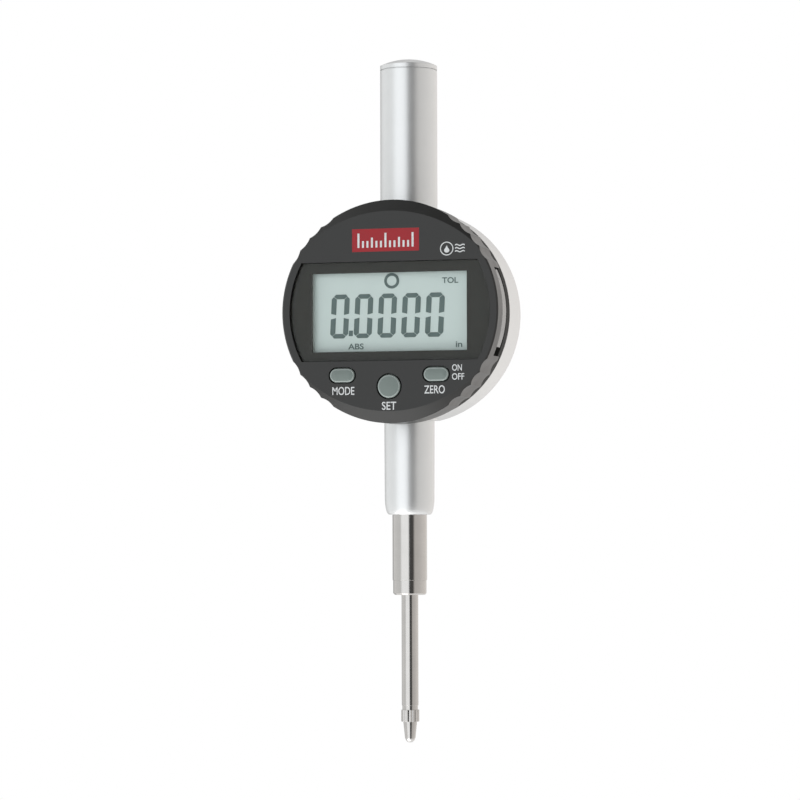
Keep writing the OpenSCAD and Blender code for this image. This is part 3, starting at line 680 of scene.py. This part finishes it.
def make_printing(materials):
    ink = materials["label_ink"]
    back = -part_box("name_plate")[0].y
    front = back + PRINT_THICKNESS
    for name, word, centre, size in FACE_WORDS:
        make_word(name, word, centre, size, back, front, ink, FACE_BOLD)
    build = bmesh.new()
    add_ring(build, SIGN_CENTRE, SIGN_OUTER, SIGN_INNER, back, front)
    add_plate(build, droplet(DROP_CENTRE, DROP_RADIUS, DROP_POINT), back, front)
    for i in range(WAVE_COUNT):
        outline = wave(WAVE_LEFT, WAVE_TOP - WAVE_STEP * i, WAVE_LENGTH, WAVE_HEIGHT, WAVE_STROKE)
        add_plate(build, outline, back, front)
    finish_piece("sealing_sign", build, ink, "display_head")


# Ruler marks: every sixth is long and every third between them is half as long again as the rest
MARK_COUNT = 13
MARK_SPAN = 15.2
MARK_STROKE = 0.55
MARK_DROP = 2.0
LONG_MARK = 3.9
HALF_MARK = 2.7
SHORT_MARK = 1.8


def make_plate_scale(materials):
    """Plain ruler marks on the name plate."""
    low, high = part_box("name_plate")
    back = -low.y
    front = back + PRINT_THICKNESS
    middle = (low + high) / 2
    build = bmesh.new()
    base = (middle.z - FACE.z) / MM - MARK_DROP
    left = middle.x / MM - MARK_SPAN / 2 - MARK_STROKE / 2
    for i in range(MARK_COUNT):
        tall = LONG_MARK if i % 6 == 0 else HALF_MARK if i % 3 == 0 else SHORT_MARK
        across = left + MARK_SPAN * i / (MARK_COUNT - 1)
        add_plate(build, upright(across, base, MARK_STROKE, tall), back, front)
    finish_piece("plate_ruler_marks", build, materials["label_ink"], "display_head")


# ---------------------------------------------------------------- return spring

SPRING_WIRE = 0.25 * MM
SPRING_TURNS = 13
SPRING_SEGMENTS = 24
SPRING_SIDES = 8


def make_spring(materials):
    """Coil with closed end turns in the return spring's place; the real spring shortens upwards as the plunger
    rises.
    """
    low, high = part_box("return_spring")
    middle = (low + high) / 2
    radius = (high.x - low.x) / 2 - SPRING_WIRE
    closed = 2 * SPRING_WIRE  # rise of a turn that lies on its neighbour
    pitch = (high.z - low.z - 3 * closed) / (SPRING_TURNS - 2)
    build = bmesh.new()
    loops = []
    for i in range(SPRING_TURNS * SPRING_SEGMENTS + 1):
        turn = i / SPRING_SEGMENTS
        free = min(max(turn - 1, 0), SPRING_TURNS - 2)
        height = low.z + SPRING_WIRE + closed * (turn - free) + pitch * free
        a = 2 * math.pi * turn
        loop = []
        for side in range(SPRING_SIDES):
            b = 2 * math.pi * side / SPRING_SIDES
            reach = radius + SPRING_WIRE * math.cos(b)
            up = height + SPRING_WIRE * math.sin(b)
            point = (middle.x + reach * math.cos(a), middle.y + reach * math.sin(a), up)
            loop.append(build.verts.new(point))
        loops.append(loop)
    for a, b in zip(loops, loops[1:]):
        for i in range(SPRING_SIDES):
            j = (i + 1) % SPRING_SIDES
            build.faces.new((a[i], a[j], b[j], b[i]))
    build.faces.new(loops[0][::-1])
    build.faces.new(loops[-1])
    piece = finish_piece("return_spring_coil", build, materials["spring_steel"], "case")
    piece.data.shade_smooth()
    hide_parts("return_spring")
    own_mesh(piece)


# ---------------------------------------------------------------- studio

SOFT_WHITE = (1, 1, 1, 1)
# Brightness of the studio round the object, by angle from the camera in degrees, positive to the right
STUDIO_RING = (
    (-180, (0.70, 0.695, 0.69)),
    (-165, (0.55, 0.55, 0.545)),
    (-148, (0.55, 0.55, 0.545)),
    (-132, (1.12, 1.13, 1.13)),
    (-66, (1.02, 1.04, 1.04)),
    (-56, (1.60, 1.64, 1.67)),
    (-10, (1.60, 1.64, 1.67)),
    (-2, (0.105, 0.107, 0.109)),
    (22, (0.105, 0.103, 0.10)),
    (33, (0.82, 0.80, 0.775)),
    (66, (0.91, 0.89, 0.865)),
    (95, (1.06, 1.03, 1.00)),
    (130, (1.14, 1.10, 1.06)),
    (156, (1.12, 1.08, 1.05)),
    (172, (0.70, 0.69, 0.68)),
    (180, (0.70, 0.695, 0.69)),
)
CEILING_FRONT = (0.30, 0.30, 0.30)
CEILING_BACK = (0.90, 0.90, 0.90)
TABLE = (0.95, 0.95, 0.94)
# The floor is far enough down that it doesn't come between the object and a view from below
FLOOR_DROP = 0.9
FLOOR_RADIUS = 1.43
FLOOR_GLOW = 0.6
FLOOR_DARK = (0.83, 0.83, 0.825)
FLOOR_LIGHT = (0.86, 0.86, 0.855)
FLOOR_MOTTLE = 20 * MM
# Rise of a direction where the ring gives way to the ceiling, and to the table below
CEILING_STARTS, CEILING_FULL = 0.45, 0.85
TABLE_STARTS, TABLE_FULL = -0.42, -0.7
# How far ahead of the object the ceiling is at its darkest, and where it is at its brightest
CEILING_DARK, CEILING_BRIGHT = 0.25, -0.15
CARD_AZIMUTH = math.radians(-37.6)
CARD_ELEVATION = math.radians(-63.8)
CARD_DISTANCE = 0.3
CARD_SIZE = 0.25
CARD_POWER = 0.3


def make_world():
    """Studio round the object, turned with the camera, that the camera itself sees as plain white."""
    world = bpy.data.worlds.new("studio")
    bpy.context.scene.world = world
    world.use_nodes = True
    tree = world.node_tree
    tree.nodes.clear()
    place = add(tree, "ShaderNodeTexCoord").outputs["Generated"]
    turned = add(
        tree,
        "ShaderNodeVectorRotate",
        {"Vector": place, "Axis": (0, 0, 1), "Angle": -CAMERA_AZIMUTH},
        rotation_type="AXIS_ANGLE",
    ).outputs[0]
    parts = add(tree, "ShaderNodeSeparateXYZ", {"Vector": turned})
    ahead = maths(tree, "MULTIPLY", parts.outputs["Y"], -1)
    angle = maths(tree, "ARCTAN2", parts.outputs["X"], ahead)
    share = maths(tree, "MULTIPLY_ADD", angle, 1 / (2 * math.pi), 0.5)
    ramp = add(tree, "ShaderNodeValToRGB", {"Fac": share})
    stops = ramp.color_ramp.elements
    while len(stops) < len(STUDIO_RING):
        stops.new(0.5)
    for stop, (degrees, colour) in zip(stops, STUDIO_RING):
        stop.position = degrees / 360 + 0.5
        stop.color = (*colour, 1)
    rise = parts.outputs["Z"]
    roof = remap(tree, rise, CEILING_STARTS, CEILING_FULL, 0, 1)
    under = remap(tree, rise, TABLE_STARTS, TABLE_FULL, 0, 1)
    behind = remap(tree, ahead, CEILING_DARK, CEILING_BRIGHT, 0, 1)
    ceiling = mix_colour(tree, behind, CEILING_FRONT, CEILING_BACK)
    upper = mix_colour(tree, roof, ramp.outputs["Color"], ceiling)
    ring = mix_colour(tree, under, upper, TABLE)
    seen = add(tree, "ShaderNodeLightPath").outputs["Is Camera Ray"]
    lit = add(tree, "ShaderNodeBackground", {"Color": ring, "Strength": 1})
    white = add(tree, "ShaderNodeBackground", {"Color": SOFT_WHITE, "Strength": 1})
    both = add(tree, "ShaderNodeMixShader", {0: seen, 1: lit.outputs[0], 2: white.outputs[0]})
    add(tree, "ShaderNodeOutputWorld", {"Surface": both.outputs[0]})


def make_floor():
    """White floor below the object."""
    material, tree = new_material("floor")
    colour = mix_colour(tree, noise(tree, FLOOR_MOTTLE), FLOOR_DARK, FLOOR_LIGHT)
    shader = add(tree, "ShaderNodeBsdfPrincipled", {"Base Color": colour})
    shader.inputs["Roughness"].default_value = 0.9
    shader.inputs["Specular IOR Level"].default_value = 0.1
    shader.inputs["Emission Color"].default_value = SOFT_WHITE
    shader.inputs["Emission Strength"].default_value = FLOOR_GLOW
    add(tree, "ShaderNodeOutputMaterial", {"Surface": shader.outputs["BSDF"]})
    build = bmesh.new()
    bmesh.ops.create_circle(build, cap_ends=True, segments=96, radius=FLOOR_RADIUS)
    mesh = bpy.data.meshes.new("floor")
    build.to_mesh(mesh)
    build.free()
    mesh.materials.append(material)
    floor = bpy.data.objects.new("floor", mesh)
    floor.location = (0, 0, cad_low.z - FLOOR_DROP)
    bpy.context.scene.collection.objects.link(floor)


def make_bounce_card():
    """Weak light from below that lifts the lower edges."""
    data = bpy.data.lights.new("bounce_card", "AREA")
    data.shape = "SQUARE"
    data.size = CARD_SIZE
    data.energy = CARD_POWER
    card = bpy.data.objects.new("bounce_card", data)
    back = direction(CARD_AZIMUTH, CARD_ELEVATION)
    card.location = FACE + back * CARD_DISTANCE
    card.rotation_mode = "QUATERNION"
    card.rotation_quaternion = (-back).to_track_quat("-Z", "Y")
    bpy.context.scene.collection.objects.link(card)


# ---------------------------------------------------------------- the scene

make_camera()
make_world()
make_floor()
make_bounce_card()
bpy.context.scene.view_settings.view_transform = "Standard"
materials = make_materials()
paint_frame(materials)
for node, body in (("set_button", "set_key"), ("mode_button", "mode_key"), ("zero_button", "zero_key")):
    make_button(node, body, materials)
make_display(materials)
make_printing(materials)
make_plate_scale(materials)
make_spring(materials)
